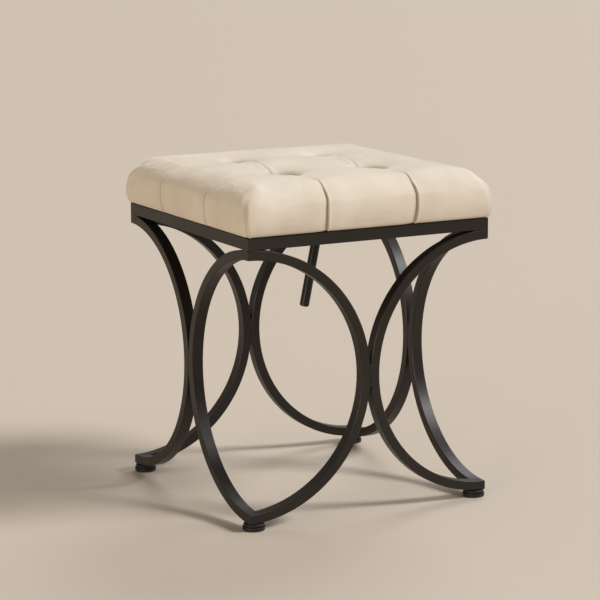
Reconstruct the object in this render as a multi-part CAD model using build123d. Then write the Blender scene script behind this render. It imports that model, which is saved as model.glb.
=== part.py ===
"""Accent stool: a square tufted seat on a steel frame of back-to-back half-circle bars.

Millimetres, +Z up. The origin is on the floor, under the middle of the seat. The front face
looks towards -Y and its left corner is at -X.
"""
from build123d import *
import math
import os

# Steel frame
FRAME_WIDTH = 400.0        # outside, across each of the four faces
TUBE_DEPTH = 18.0          # both tubes, square to the face they stand in
RAIL_HEIGHT = 18.0         # top rails
ARC_THICKNESS = 14.0       # half-circle bars, in the plane of the face
TUBE_WALL = 1.2
TUBE_EDGE = 0.8            # outside corner bevel of both tubes
SEAM_GAP = 1.0             # between the two bars of a face, filled by the weld
WELD_LENGTH = 34.0
CORNER_WELD_REACH = 23.0   # from the corner, along the groove between rail and bar

# Feet
FOOT_HEIGHT = 10.8         # floor to the underside of the bars, feet screwed home
FOOT_RADIUS = 16.5
FOOT_COLLAR_RADIUS = 15.0
FOOT_COLLAR_HEIGHT = 3.6
FOOT_GROOVE_HEIGHT = 1.0
FOOT_GROOVE_DEPTH = 1.4
FOOT_CHAMFER = 1.2
FOOT_INSET = 12.4          # foot axis to the two outside faces of its corner
FOOT_RUNNING_GAP = 0.3     # top of the foot to the bars
FOOT_FLOOR_WEB = 3.0       # foot material under the stem
STEM_RADIUS = 2.95
STEM_BORE = 3.0
STEM_TOP_GAP = 1.2         # stem end to the tube's upper wall
NUT_FLATS = 10.0
NUT_HEIGHT = 5.0
NUT_SEAT_GAP = 0.05
STEM_HOLE_CLEARANCE = 0.4  # around the stem in the tube's lower wall

# Seat build-up, from the rails upwards
DUST_COVER_THICKNESS = 0.8
DUST_COVER_INSET = 10.0    # from the frame's outside
HEM_THICKNESS = 2.0        # cover turned under the board
HEM_WIDTH = 32.0
BOARD_THICKNESS = 12.0
BOARD_INSET = 12.0         # board edge to the frame's outside
BOARD_CORNER = 20.0
CUSHION_CROWN = 75.5       # above the dust cover, in the middle
CUSHION_DOME = 4.0         # rise of the crown over half the width
CUSHION_OVERHANG = 5.5     # past the frame near the corners
CUSHION_BULGE = 3.5        # more in the middle of each side
CUSHION_CORNER = 36.0
CUSHION_TOP_ROUND = 34.0
CUSHION_BOTTOM_ROUND = 6.0
CUSHION_TRIM_GAP = 0.2     # trimming profile's upright sides to the widest place of the plan
PADDING = 12.0             # cover and its wadding over the foam
FOAM_TOP_ROUND = 15.0
SOFT_GAP = 0.3

# Tufts and the pleats that join them
TUFT_PITCH = 146.0
TUFT_ROUND = 22.0          # roll of the cushion into a tuft
TUFT_WALL = 2.0            # upright wall below the roll
TUFT_FLOOR_RADIUS = 11.0
TUFT_CUP = 9.0             # cover and wadding around and under a tuft
PLEAT_DEPTH = 7.0
PLEAT_HALF_WIDTH = 5.0
PLEAT_OUTSIDE = 1.0        # how far the channel's cutter stands outside the cushion
BUTTON_RADIUS = 10.0
BUTTON_HEIGHT = 6.0
BUTTON_RIM = 2.0
BUTTON_CROWN_RADIUS = 6.0  # flat middle of its top
CORD_RADIUS = 1.25
CORD_HOLE_CLEARANCE = 0.8
TUFT_WASHER_RADIUS = 10.0
TUFT_WASHER_THICKNESS = 1.5

# Seat fixings
PLATE_LEG = 42.0
PLATE_TIP = 7.0
PLATE_THICKNESS = 3.0
SCREW_INSET = 13.0         # screw axis to the inside faces of the rails
SCREW_RADIUS = 2.95
SCREW_HOLE_CLEARANCE = 0.5
SCREW_HEAD_RADIUS = 5.6
SCREW_HEAD_HEIGHT = 3.8
HEX_SOCKET_FLATS = 4.0
HEX_SOCKET_DEPTH = 2.2
WASHER_RADIUS = 7.0
WASHER_THICKNESS = 1.5
TEE_NUT_BORE = 3.0
TEE_NUT_BARREL_RADIUS = 4.0
TEE_NUT_FLANGE_RADIUS = 9.0
TEE_NUT_FLANGE_THICKNESS = 1.2
TEE_NUT_LENGTH = 9.5
FIT_GAP = 0.1              # around metal fixings set in wood and plate

# Rod under the seat
ROD_RADIUS = 7.3
ROD_TOP_X = 29.0           # where its axis meets the board's underside
ROD_TOP_Y = 0.0
ROD_TILT = 11.8            # degrees from upright, foot towards -X
ROD_LENGTH = 155.0
ROD_END_BEVEL = 2.0
FLANGE_RADIUS = 25.0
FLANGE_THICKNESS = 4.0
FLANGE_BEVEL = 1.0
FLANGE_SCREW_CIRCLE_RADIUS = 17.5
FLANGE_SCREW_COUNT = 3
FLANGE_SCREW_RADIUS = 1.9
FLANGE_SCREW_HEAD_RADIUS = 3.8
FLANGE_SCREW_HEAD_HEIGHT = 2.4
FLANGE_SCREW_LENGTH = 10.0
FLANGE_COVER_GAP = 1.0     # dust cover is cut round the flange

# Levels and places that follow from the sizes
HALF = FRAME_WIDTH / 2
ARC_RADIUS = HALF - SEAM_GAP / 2 - ARC_THICKNESS / 2
ARC_CENTRE_Z = FOOT_HEIGHT + ARC_THICKNESS / 2 + ARC_RADIUS
RAIL_BASE_Z = ARC_CENTRE_Z + ARC_RADIUS + ARC_THICKNESS / 2
RAIL_TOP_Z = RAIL_BASE_Z + RAIL_HEIGHT
INNER_HALF = HALF - TUBE_DEPTH
CUSHION_BASE_Z = RAIL_TOP_Z + DUST_COVER_THICKNESS
BOARD_BASE_Z = CUSHION_BASE_Z + HEM_THICKNESS
BOARD_TOP_Z = BOARD_BASE_Z + BOARD_THICKNESS
CROWN_Z = CUSHION_BASE_Z + CUSHION_CROWN
BOARD_HALF = HALF - BOARD_INSET
CUSHION_HALF = HALF + CUSHION_OVERHANG
DOME_RADIUS = (CUSHION_HALF ** 2 + CUSHION_DOME ** 2) / (2 * CUSHION_DOME)
DOME_CENTRE_Z = CROWN_Z - DOME_RADIUS
TUFT_AT = TUFT_PITCH / 2
TUFT_DEPTH = TUFT_ROUND + TUFT_WALL
SCREW_AT = INNER_HALF - SCREW_INSET
FOOT_AT = HALF - FOOT_INSET
FOOT_TOP_Z = FOOT_HEIGHT - FOOT_RUNNING_GAP

CORNERS = {
    "front_left": (-1, -1),
    "front_right": (1, -1),
    "back_right": (1, 1),
    "back_left": (-1, 1),
}
# Each face by its turn about Z from the front, with the corners at its two ends
FACES = {
    "front": (0, "left", "right"),
    "right": (90, "front", "back"),
    "back": (180, "right", "left"),
    "left": (270, "back", "front"),
}


def at_corners(shape, distance):
    """Copies of a shape at the same distance in X and Y, towards each corner."""
    return [Pos(sx * distance, sy * distance, 0) * shape for sx, sy in CORNERS.values()]


def tube_section(thickness):
    """Hollow tube section with bevelled outside corners, its depth along the first axis."""
    outside = Rectangle(TUBE_DEPTH, thickness)
    outside = chamfer(outside.vertices(), TUBE_EDGE)
    return outside - Rectangle(TUBE_DEPTH - 2 * TUBE_WALL, thickness - 2 * TUBE_WALL)


def mitre(shape, end):
    """Cut a front-face tube at the upright 45 degree plane of its left or right corner."""
    side = -1 if end == "left" else 1
    plane = Plane((side * HALF, -HALF, 0), x_dir=(0, 0, 1), z_dir=(-side, -1, 0))
    return split(shape, bisect_by=plane, keep=Keep.TOP)


def front_rail():
    """Top rail of the front face, mitred at both ends."""
    end = (-HALF, -HALF + TUBE_DEPTH / 2, RAIL_BASE_Z + RAIL_HEIGHT / 2)
    start = Plane(end, x_dir=(0, 1, 0), z_dir=(1, 0, 0))
    rail = extrude(start * tube_section(RAIL_HEIGHT), FRAME_WIDTH)
    return mitre(mitre(rail, "left"), "right")


def front_arc():
    """Half-circle bar at the left of the front face, with half of the stem's hole in its lower wall."""
    end = (-HALF, -HALF + TUBE_DEPTH / 2, ARC_CENTRE_Z + ARC_RADIUS)
    top = Plane(end, x_dir=(0, 1, 0), z_dir=(1, 0, 0))
    axis = Axis((-HALF, 0, ARC_CENTRE_Z), (0, 1, 0))
    overrun = math.degrees(TUBE_DEPTH / 2 / ARC_RADIUS)
    bar = revolve(top * tube_section(ARC_THICKNESS), axis, 180 + 2 * overrun).rotate(axis, -overrun)
    bar = mitre(bar, "left")
    hole = Cylinder(STEM_RADIUS + STEM_HOLE_CLEARANCE, ARC_THICKNESS)
    return bar - Pos(-FOOT_AT, -FOOT_AT, FOOT_HEIGHT) * hole


def face_weld():
    """Weld between the two bars of the front face, tangent to them in the middle and at its ends."""
    bar = ARC_RADIUS + ARC_THICKNESS / 2
    reach = WELD_LENGTH / 2
    waist = bar * math.tan(math.asin(reach / bar) / 2)
    narrow = SEAM_GAP / 2
    wide = HALF - math.sqrt(bar ** 2 - reach ** 2)
    outline = Polyline(
        (-wide, -reach), (-narrow, -waist), (-narrow, waist), (-wide, reach),
        (wide, reach), (narrow, waist), (narrow, -waist), (wide, -reach), close=True)
    middle = Plane((0, -HALF + TUBE_DEPTH / 2, ARC_CENTRE_Z), x_dir=(1, 0, 0), z_dir=(0, -1, 0))
    return extrude(middle * make_face(outline), TUBE_DEPTH / 2 - TUBE_EDGE, both=True)


def corner_weld():
    """Weld in the groove between the front rail and its left bar, tangent to the bar in two places."""
    bar = ARC_RADIUS + ARC_THICKNESS / 2
    far = math.asin(CORNER_WELD_REACH / bar)
    near = far / 3
    middle = (near + far) / 2
    meet = bar / math.cos((far - near) / 2)
    outline = Polyline(
        (bar * math.tan(near / 2), bar), (meet * math.sin(middle), meet * math.cos(middle)),
        (CORNER_WELD_REACH, bar * math.cos(far)), (CORNER_WELD_REACH, bar), close=True)
    corner = Plane((-HALF, -HALF + TUBE_DEPTH / 2, ARC_CENTRE_Z), x_dir=(1, 0, 0), z_dir=(0, -1, 0))
    return mitre(extrude(corner * make_face(outline), TUBE_DEPTH / 2 - TUBE_EDGE, both=True), "left")


def corner_plate():
    """Plate inside the back right corner of the rails, with the seat screw's hole."""
    c = INNER_HALF
    outline = Polyline(
        (c, c), (c - PLATE_LEG, c), (c - PLATE_LEG, c - PLATE_TIP), (c - PLATE_TIP, c - PLATE_LEG),
        (c, c - PLATE_LEG), close=True)
    plate = extrude(Pos(0, 0, RAIL_TOP_Z - PLATE_THICKNESS) * make_face(outline), PLATE_THICKNESS)
    hole = Cylinder(SCREW_RADIUS + SCREW_HOLE_CLEARANCE, 3 * PLATE_THICKNESS)
    return plate - Pos(SCREW_AT, SCREW_AT, RAIL_TOP_Z) * hole


def ring(outer, inner, z0, height):
    """Flat ring about Z, from z0 upwards."""
    return Pos(0, 0, z0) * extrude(Circle(outer) - Circle(inner), height)


def foot_pad():
    """Turned foot: base and collar with a groove between them, and the blind bore for the stem."""
    shoulder = FOOT_TOP_Z - FOOT_COLLAR_HEIGHT
    groove = shoulder - FOOT_GROOVE_HEIGHT
    outline = Polyline(
        (0, 0), (FOOT_RADIUS - FOOT_CHAMFER, 0), (FOOT_RADIUS, FOOT_CHAMFER), (FOOT_RADIUS, groove),
        (FOOT_COLLAR_RADIUS - FOOT_GROOVE_DEPTH, groove), (FOOT_COLLAR_RADIUS - FOOT_GROOVE_DEPTH, shoulder),
        (FOOT_COLLAR_RADIUS, shoulder), (FOOT_COLLAR_RADIUS, FOOT_TOP_Z - FOOT_CHAMFER / 2),
        (FOOT_COLLAR_RADIUS - FOOT_CHAMFER / 2, FOOT_TOP_Z), (0, FOOT_TOP_Z), close=True)
    pad = revolve(Plane.XZ * make_face(outline), Axis.Z, 360)
    bore = Pos(0, 0, FOOT_FLOOR_WEB) * extrude(Circle(STEM_BORE), FOOT_HEIGHT)
    return pad - bore


def foot_stem():
    """Threaded stem of a foot, drawn plain at its full diameter."""
    top = FOOT_HEIGHT + ARC_THICKNESS - TUBE_WALL - STEM_TOP_GAP
    return Pos(0, 0, FOOT_FLOOR_WEB) * extrude(Circle(STEM_RADIUS), top - FOOT_FLOOR_WEB)


def foot_nut():
    """Nut on the lower walls inside a foot corner, clear of the bars' upward curve."""
    cavity = ARC_RADIUS + ARC_THICKNESS / 2 - TUBE_WALL
    reach = FOOT_INSET + NUT_FLATS / math.sqrt(3)
    rise = cavity - math.sqrt(cavity ** 2 - reach ** 2)
    section = RegularPolygon(NUT_FLATS / 2, 6, major_radius=False) - Circle(STEM_BORE)
    return Pos(0, 0, FOOT_HEIGHT + TUBE_WALL + rise + NUT_SEAT_GAP) * extrude(section, NUT_HEIGHT)


def cushion_plan():
    """Plan of the cushion: four shallow arcs with rounded corners."""
    h = CUSHION_HALF
    b = h + CUSHION_BULGE
    sides = [
        ThreePointArc((-h, -h), (0, -b), (h, -h)),
        ThreePointArc((h, -h), (b, 0), (h, h)),
        ThreePointArc((h, h), (0, b), (-h, h)),
        ThreePointArc((-h, h), (-b, 0), (-h, -h)),
    ]
    plan = make_face(sides)
    return fillet(plan.vertices(), CUSHION_CORNER)


def crowned_profile(half, base_z, lowered, top_round, base_round=0):
    """Upright section: flat base, upright sides, rounded shoulders and a crown lowered by a thickness."""
    dome = DOME_RADIUS - lowered
    turn_x = half - top_round
    turn_z = DOME_CENTRE_Z + math.sqrt((dome - top_round) ** 2 - turn_x ** 2)
    reach = dome / (dome - top_round)
    crown_x = turn_x * reach
    crown_z = DOME_CENTRE_Z + (turn_z - DOME_CENTRE_Z) * reach
    middle = math.atan2(crown_z - turn_z, crown_x - turn_x) / 2
    round_x = turn_x + top_round * math.cos(middle)
    round_z = turn_z + top_round * math.sin(middle)
    foot_x = half - base_round
    foot_z = base_z + base_round
    bend = base_round * (1 - math.sqrt(0.5))
    edges = [
        Line((-half, foot_z), (-half, turn_z)),
        ThreePointArc((-half, turn_z), (-round_x, round_z), (-crown_x, crown_z)),
        ThreePointArc((-crown_x, crown_z), (0, DOME_CENTRE_Z + dome), (crown_x, crown_z)),
        ThreePointArc((crown_x, crown_z), (round_x, round_z), (half, turn_z)),
        Line((half, turn_z), (half, foot_z)),
        Line((foot_x, base_z), (-foot_x, base_z)),
    ]
    if base_round:
        edges.append(ThreePointArc((half, foot_z), (half - bend, base_z + bend), (foot_x, base_z)))
        edges.append(ThreePointArc((-foot_x, base_z), (bend - half, base_z + bend), (-half, foot_z)))
    return make_face(edges)


def crowned_form(plan, profile):
    """Plan carried up and trimmed by the same profile from the front and from the side."""
    form = extrude(Pos(0, 0, RAIL_TOP_Z) * plan, CROWN_Z)
    trim = extrude(Plane.XZ * profile, FRAME_WIDTH, both=True)
    return form & trim & (Rot(0, 0, 90) * trim)


def dome_z(x):
    """Height of the crown at a distance from the middle of the seat."""
    return DOME_CENTRE_Z + math.sqrt(DOME_RADIUS ** 2 - x ** 2)


def pleat_cutter():
    """V-shaped channel over the cushion and down two sides, in the plane x = TUFT_AT."""
    side = CUSHION_HALF + CUSHION_BULGE
    low = CUSHION_BASE_Z - CUSHION_BOTTOM_ROUND
    deep = Plane((TUFT_AT, 0, 0), x_dir=(0, 1, 0), z_dir=(1, 0, 0))
    half_width = PLEAT_HALF_WIDTH * (PLEAT_DEPTH + PLEAT_OUTSIDE) / PLEAT_DEPTH
    height = CROWN_Z - low
    channel = Pos(TUFT_AT, 0, low + height / 2) * Box(2 * half_width, 3 * CUSHION_HALF, height)
    core = deep * crowned_profile(side - PLEAT_DEPTH, low, PLEAT_DEPTH, CUSHION_TOP_ROUND - PLEAT_DEPTH)
    skin = deep * crowned_profile(
        side + PLEAT_OUTSIDE, low, -PLEAT_OUTSIDE, CUSHION_TOP_ROUND + PLEAT_OUTSIDE)
    for way in (-1, 1):
        channel -= loft([core, Pos(way * half_width, 0, 0) * skin], ruled=True)
    return channel


def tuft_cutter(cup):
    """Round tuft that rolls down to a flat floor, widened by a wall thickness for what lies under it."""
    top = dome_z(TUFT_AT)
    centre_r = TUFT_FLOOR_RADIUS + TUFT_ROUND
    centre_z = top - TUFT_ROUND
    roll = TUFT_ROUND - cup
    floor = top - TUFT_DEPTH - cup
    high = top + TUFT_DEPTH
    inner = centre_r - roll
    bend = roll * math.sqrt(0.5)
    shoulder = (centre_r - bend, centre_z + bend)
    edges = [
        Line((0, floor), (inner, floor)),
        Line((inner, floor), (inner, centre_z)),
        ThreePointArc((inner, centre_z), shoulder, (centre_r, centre_z + roll)),
        Line((centre_r, centre_z + roll), (centre_r, high)),
        Line((centre_r, high), (0, high)),
        Line((0, high), (0, floor)),
    ]
    return revolve(Plane.XZ * make_face(edges), Axis.Z, 360)


def foam_form(gap):
    """Foam block with its dished tuft pockets, smaller by a gap all round."""
    half = BOARD_HALF - gap
    plan = RectangleRounded(2 * half, 2 * half, BOARD_CORNER)
    profile = crowned_profile(half, BOARD_TOP_Z, PADDING + gap, FOAM_TOP_ROUND)
    return crowned_form(plan, profile) - at_corners(tuft_cutter(TUFT_CUP + gap), TUFT_AT)


def cord_holes(radius):
    """Upright holes on the four tuft axes."""
    drill = Pos(0, 0, BOARD_BASE_Z - HEM_THICKNESS) * extrude(Circle(radius), CUSHION_CROWN)
    return at_corners(drill, TUFT_AT)


def screw_holes(radius):
    """Upright holes on the four seat screw axes, up to the top of the board."""
    drill = Pos(0, 0, RAIL_BASE_Z) * extrude(Circle(radius), BOARD_TOP_Z - RAIL_BASE_Z)
    return at_corners(drill, SCREW_AT)


def seat_cover():
    """Cover with its wadding: crowned, tufted and pleated, and turned under the board as a hem."""
    half = CUSHION_HALF + CUSHION_BULGE + CUSHION_TRIM_GAP
    profile = crowned_profile(half, CUSHION_BASE_Z, 0, CUSHION_TOP_ROUND, CUSHION_BOTTOM_ROUND)
    pleat = pleat_cutter()
    corner_block = Pos(half, half, CROWN_Z) * Box(2 * half, 2 * half, CROWN_Z)
    quarter = crowned_form(cushion_plan(), profile) & corner_block
    quarter -= pleat
    quarter -= Rot(0, 0, 90) * pleat
    quarter -= Pos(TUFT_AT, TUFT_AT, 0) * tuft_cutter(0)
    right_half = quarter + mirror(quarter, Plane.XZ)
    form = right_half + mirror(right_half, Plane.YZ)
    board = RectangleRounded(2 * BOARD_HALF, 2 * BOARD_HALF, BOARD_CORNER)
    form -= Pos(0, 0, BOARD_BASE_Z) * extrude(board, BOARD_THICKNESS)
    form -= foam_form(0)
    mouth = 2 * (BOARD_HALF - HEM_WIDTH)
    form -= Pos(0, 0, CUSHION_BASE_Z) * extrude(RectangleRounded(mouth, mouth, BOARD_CORNER), HEM_THICKNESS)
    form -= cord_holes(CORD_RADIUS + CORD_HOLE_CLEARANCE)
    return form - screw_holes(SCREW_RADIUS + SCREW_HOLE_CLEARANCE)


def foam_core():
    """Foam block on the board, with a hole for each tuft cord."""
    return foam_form(SOFT_GAP) - cord_holes(CORD_RADIUS + CORD_HOLE_CLEARANCE)


def tee_nut(gap):
    """Tee nut let into the top of the board, grown by a gap for its pocket."""
    top = BOARD_TOP_Z
    flange_base = top - TEE_NUT_FLANGE_THICKNESS - gap
    flange = Pos(0, 0, flange_base) * extrude(Circle(TEE_NUT_FLANGE_RADIUS + gap), top - flange_base)
    barrel_base = top - TEE_NUT_LENGTH - gap
    barrel = Pos(0, 0, barrel_base) * extrude(Circle(TEE_NUT_BARREL_RADIUS + gap), top - barrel_base)
    return flange + barrel


def seat_board():
    """Plywood board with pockets for the tee nuts and holes for cords, seat screws and flange screws."""
    half = BOARD_HALF - SOFT_GAP
    plan = RectangleRounded(2 * half, 2 * half, BOARD_CORNER)
    board = Pos(0, 0, BOARD_BASE_Z) * extrude(plan, BOARD_THICKNESS)
    board -= at_corners(tee_nut(FIT_GAP), SCREW_AT)
    board -= screw_holes(SCREW_RADIUS + SCREW_HOLE_CLEARANCE)
    board -= cord_holes(CORD_RADIUS + CORD_HOLE_CLEARANCE)
    return board - flange_screw_shanks(FIT_GAP)


def dust_cover():
    """Thin cloth under the seat, cut for the seat screws and round the rod's flange."""
    half = HALF - DUST_COVER_INSET
    sheet = RectangleRounded(2 * half, 2 * half, BOARD_CORNER)
    sheet -= Pos(ROD_TOP_X, ROD_TOP_Y) * Circle(FLANGE_RADIUS + FLANGE_COVER_GAP)
    cover = Pos(0, 0, RAIL_TOP_Z) * extrude(sheet, DUST_COVER_THICKNESS)
    return cover - screw_holes(SCREW_RADIUS + SCREW_HOLE_CLEARANCE)


def seat_screw():
    """Socket-head screw, from under the corner plate up into its tee nut."""
    seat_z = RAIL_TOP_Z - PLATE_THICKNESS - WASHER_THICKNESS
    head = Pos(0, 0, seat_z - SCREW_HEAD_HEIGHT) * extrude(Circle(SCREW_HEAD_RADIUS), SCREW_HEAD_HEIGHT)
    socket = RegularPolygon(HEX_SOCKET_FLATS / 2, 6, major_radius=False)
    head -= Pos(0, 0, seat_z - SCREW_HEAD_HEIGHT) * extrude(socket, HEX_SOCKET_DEPTH)
    end_z = BOARD_TOP_Z - TEE_NUT_FLANGE_THICKNESS
    return head + Pos(0, 0, seat_z) * extrude(Circle(SCREW_RADIUS), end_z - seat_z)


def tuft_button():
    """Button with a raised middle at the bottom of a tuft."""
    base = dome_z(TUFT_AT) - TUFT_DEPTH + SOFT_GAP
    top = base + BUTTON_HEIGHT
    outline = Polyline(
        (0, base), (BUTTON_RADIUS, base), (BUTTON_RADIUS, base + BUTTON_RIM),
        (BUTTON_CROWN_RADIUS, top), (0, top), close=True)
    return revolve(Plane.XZ * make_face(outline), Axis.Z, 360)


def tuft_cord():
    """Cord from under a button to the underside of its washer."""
    top = dome_z(TUFT_AT) - TUFT_DEPTH + SOFT_GAP
    base = BOARD_BASE_Z - TUFT_WASHER_THICKNESS
    return Pos(0, 0, base) * extrude(Circle(CORD_RADIUS), top - base)


def rod_axis():
    """Plane at the rod's top with its Z axis pointing down the rod."""
    tilt = math.radians(ROD_TILT)
    down = (-math.sin(tilt), 0, -math.cos(tilt))
    return Plane((ROD_TOP_X, ROD_TOP_Y, BOARD_BASE_Z), x_dir=(0, 1, 0), z_dir=down)


def under_rod():
    """Round rod, bevelled at its free end and cut flush with the flange."""
    rod = extrude(rod_axis() * Circle(ROD_RADIUS), ROD_LENGTH)
    free_end = rod.faces().sort_by(Axis.Z)[0]
    rod = chamfer(free_end.edges(), ROD_END_BEVEL)
    joint = Plane((0, 0, BOARD_BASE_Z - FLANGE_THICKNESS), z_dir=(0, 0, 1))
    return split(rod, bisect_by=joint, keep=Keep.BOTTOM)


def flange_places():
    """Screw places on the flange's circle."""
    spots = PolarLocations(FLANGE_SCREW_CIRCLE_RADIUS, FLANGE_SCREW_COUNT)
    return [Pos(ROD_TOP_X, ROD_TOP_Y, BOARD_BASE_Z) * spot for spot in spots]


def flange_screw_shanks(gap):
    """Shanks of the flange screws, from the flange's underside up into the board."""
    start = -FLANGE_THICKNESS
    shank = Pos(0, 0, start) * extrude(Circle(FLANGE_SCREW_RADIUS + gap), FLANGE_SCREW_LENGTH + gap - start)
    return [place * shank for place in flange_places()]


def rod_flange():
    """Round plate that carries the rod under the board."""
    disc = extrude(Circle(FLANGE_RADIUS), FLANGE_THICKNESS)
    plate = Pos(ROD_TOP_X, ROD_TOP_Y, BOARD_BASE_Z - FLANGE_THICKNESS) * disc
    rim = plate.faces().sort_by(Axis.Z)[0]
    plate = chamfer(rim.edges(), FLANGE_BEVEL)
    return plate - flange_screw_shanks(FIT_GAP)


def flange_screws():
    """Screws with flat round heads under the flange."""
    head = Pos(0, 0, -FLANGE_THICKNESS - FLANGE_SCREW_HEAD_HEIGHT) * extrude(
        Circle(FLANGE_SCREW_HEAD_RADIUS), FLANGE_SCREW_HEAD_HEIGHT)
    heads = [place * head for place in flange_places()]
    return [a + b for a, b in zip(heads, flange_screw_shanks(0))]


def frame_nodes():
    """Rails, half-circle bars and welds of the four faces."""
    rail = front_rail()
    arc = front_arc()
    nodes = {}
    for face, (turn, first, second) in FACES.items():
        place = Rot(0, 0, turn)
        nodes[f"rail_{face}"] = place * rail
        nodes[f"arc_{face}_{first}"] = place * arc
        nodes[f"arc_{face}_{second}"] = place * mirror(arc, Plane.YZ)
    turns = [Rot(0, 0, turn) for turn, _, _ in FACES.values()]
    weld = face_weld()
    nodes["face_welds"] = [turn * weld for turn in turns]
    left = corner_weld()
    right = mirror(left, Plane.YZ)
    nodes["corner_welds"] = [turn * side for turn in turns for side in (left, right)]
    return nodes


def corner_nodes():
    """Plates, feet, stems and buttons, one of each to a corner."""
    plate = corner_plate()
    pad = foot_pad()
    stem = foot_stem()
    button = tuft_button()
    nodes = {}
    for quarter, corner in enumerate(("back_right", "back_left", "front_left", "front_right")):
        sx, sy = CORNERS[corner]
        nodes[f"corner_plate_{corner}"] = Rot(0, 0, 90 * quarter) * plate
        nodes[f"foot_pad_{corner}"] = Pos(sx * FOOT_AT, sy * FOOT_AT, 0) * pad
        nodes[f"foot_stem_{corner}"] = Pos(sx * FOOT_AT, sy * FOOT_AT, 0) * stem
        nodes[f"tuft_button_{corner}"] = Pos(sx * TUFT_AT, sy * TUFT_AT, 0) * button
    return nodes


def seat_nodes():
    """Seat layers, fixings and the rod."""
    washer_z = RAIL_TOP_Z - PLATE_THICKNESS - WASHER_THICKNESS
    washer = ring(WASHER_RADIUS, SCREW_RADIUS + SCREW_HOLE_CLEARANCE, washer_z, WASHER_THICKNESS)
    tuft_washer_z = BOARD_BASE_Z - TUFT_WASHER_THICKNESS
    tuft_washer = ring(TUFT_WASHER_RADIUS, CORD_RADIUS + FIT_GAP, tuft_washer_z, TUFT_WASHER_THICKNESS)
    nut = tee_nut(0) - Pos(0, 0, BOARD_BASE_Z) * extrude(Circle(TEE_NUT_BORE), 2 * BOARD_THICKNESS)
    return {
        "seat_cover": seat_cover(),
        "foam_core": foam_core(),
        "seat_board": seat_board(),
        "dust_cover": dust_cover(),
        "seat_screws": at_corners(seat_screw(), SCREW_AT),
        "seat_washers": at_corners(washer, SCREW_AT),
        "tee_nuts": at_corners(nut, SCREW_AT),
        "foot_nuts": at_corners(foot_nut(), FOOT_AT),
        "tuft_cords": at_corners(tuft_cord(), TUFT_AT),
        "tuft_washers": at_corners(tuft_washer, TUFT_AT),
        "under_rod": under_rod(),
        "rod_flange": rod_flange(),
        "flange_screws": flange_screws(),
    }


def write_parts():
    """Write one file to each node."""
    os.makedirs("parts", exist_ok=True)
    for name, shape in {**frame_nodes(), **corner_nodes(), **seat_nodes()}.items():
        pieces = shape if isinstance(shape, list) else [shape]
        solids = [solid for piece in pieces for solid in piece.solids()]
        whole = solids[0] if len(solids) == 1 else Compound(children=solids)
        whole.label = name
        export_step(whole, f"parts/{name}.step")


write_parts()
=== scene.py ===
"""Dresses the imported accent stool: tufted velvet cushion, powder-coated tube frame, feet and underside."""
import logging
import math
from dataclasses import dataclass
from enum import Enum
from functools import cache
from typing import Iterable, Sequence

import bpy
import numpy as np
from mathutils import Matrix, Vector


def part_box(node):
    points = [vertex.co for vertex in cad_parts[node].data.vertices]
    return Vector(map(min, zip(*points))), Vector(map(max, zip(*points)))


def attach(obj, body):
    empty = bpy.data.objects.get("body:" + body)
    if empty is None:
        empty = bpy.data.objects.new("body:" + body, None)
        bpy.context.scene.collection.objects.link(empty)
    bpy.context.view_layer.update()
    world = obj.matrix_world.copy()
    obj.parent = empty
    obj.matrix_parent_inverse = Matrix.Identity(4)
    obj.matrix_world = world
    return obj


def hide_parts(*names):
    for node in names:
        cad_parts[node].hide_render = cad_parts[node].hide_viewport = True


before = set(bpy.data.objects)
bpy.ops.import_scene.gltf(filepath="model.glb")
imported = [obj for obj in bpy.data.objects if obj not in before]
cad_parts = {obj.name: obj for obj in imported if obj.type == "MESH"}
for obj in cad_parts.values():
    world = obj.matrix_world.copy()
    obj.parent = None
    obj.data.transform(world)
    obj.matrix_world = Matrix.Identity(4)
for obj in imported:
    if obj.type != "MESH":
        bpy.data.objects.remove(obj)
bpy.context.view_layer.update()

BODY = "frame"
CORNERS: dict[str, tuple[int, int]] = {
    "front_left": (-1, -1),
    "front_right": (1, -1),
    "back_right": (1, 1),
    "back_left": (-1, 1),
}
SIDES = ("front", "right", "back", "left")
LOG = logging.getLogger("stool")
Array = np.ndarray
Triple = tuple[float, float, float]
Colour = Triple
Face = tuple[int, ...]
Span = tuple[float, float]
Run = tuple[tuple[float, ...], tuple[float, ...]]
Feeds = dict[str | int, object]
Piece = bpy.types.Object
Socket = bpy.types.NodeSocket


class Slot(Enum):
    """Material slots of the record."""

    FRAME_STEEL = "frame_steel"
    ZINC_STEEL = "zinc_steel"
    FOOT_PLASTIC = "foot_plastic"
    VELVET = "velvet"
    PLYWOOD = "plywood"
    DUST_CLOTH = "dust_cloth"
    CORD = "cord"


def mesh_piece(name: str, points: Array, faces: Sequence[Sequence[int]], smooth: bool = True) -> Piece:
    """Makes a mesh object at the origin and links it to the scene.

    Args:
        name: Name of the piece.
        points: Array of corner places in metres.
        faces: Corner numbers of each face, counter-clockwise from outside.
        smooth: Whether the faces are shaded smooth.

    Returns:
        The new object.
    """
    mesh = bpy.data.meshes.new(name)
    mesh.from_pydata(np.asarray(points, float).tolist(), [], [list(map(int, f)) for f in faces])
    mesh.polygons.foreach_set("use_smooth", [smooth] * len(mesh.polygons))
    mesh.update()
    piece = bpy.data.objects.new(name, mesh)
    bpy.context.scene.collection.objects.link(piece)
    return piece


def ring(upper: Array, lower: Array) -> list[Face]:
    """Gives the faces between two closed loops of corners."""
    return list(zip(upper, lower, np.roll(lower, -1), np.roll(upper, -1)))


def eased(x: Array, places: Sequence[float], values: Sequence[float]) -> Array:
    """Reads at x a curve that runs smoothly through the values at rising places, level at each."""
    at = np.clip(np.searchsorted(places, x) - 1, 0, len(places) - 2)
    p = np.asarray(places, float)
    w = np.asarray(values, float)
    t = np.clip((x - p[at]) / (p[at + 1] - p[at]), 0.0, 1.0)
    return w[at] + (w[at + 1] - w[at]) * t * t * (3.0 - 2.0 * t)


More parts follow.
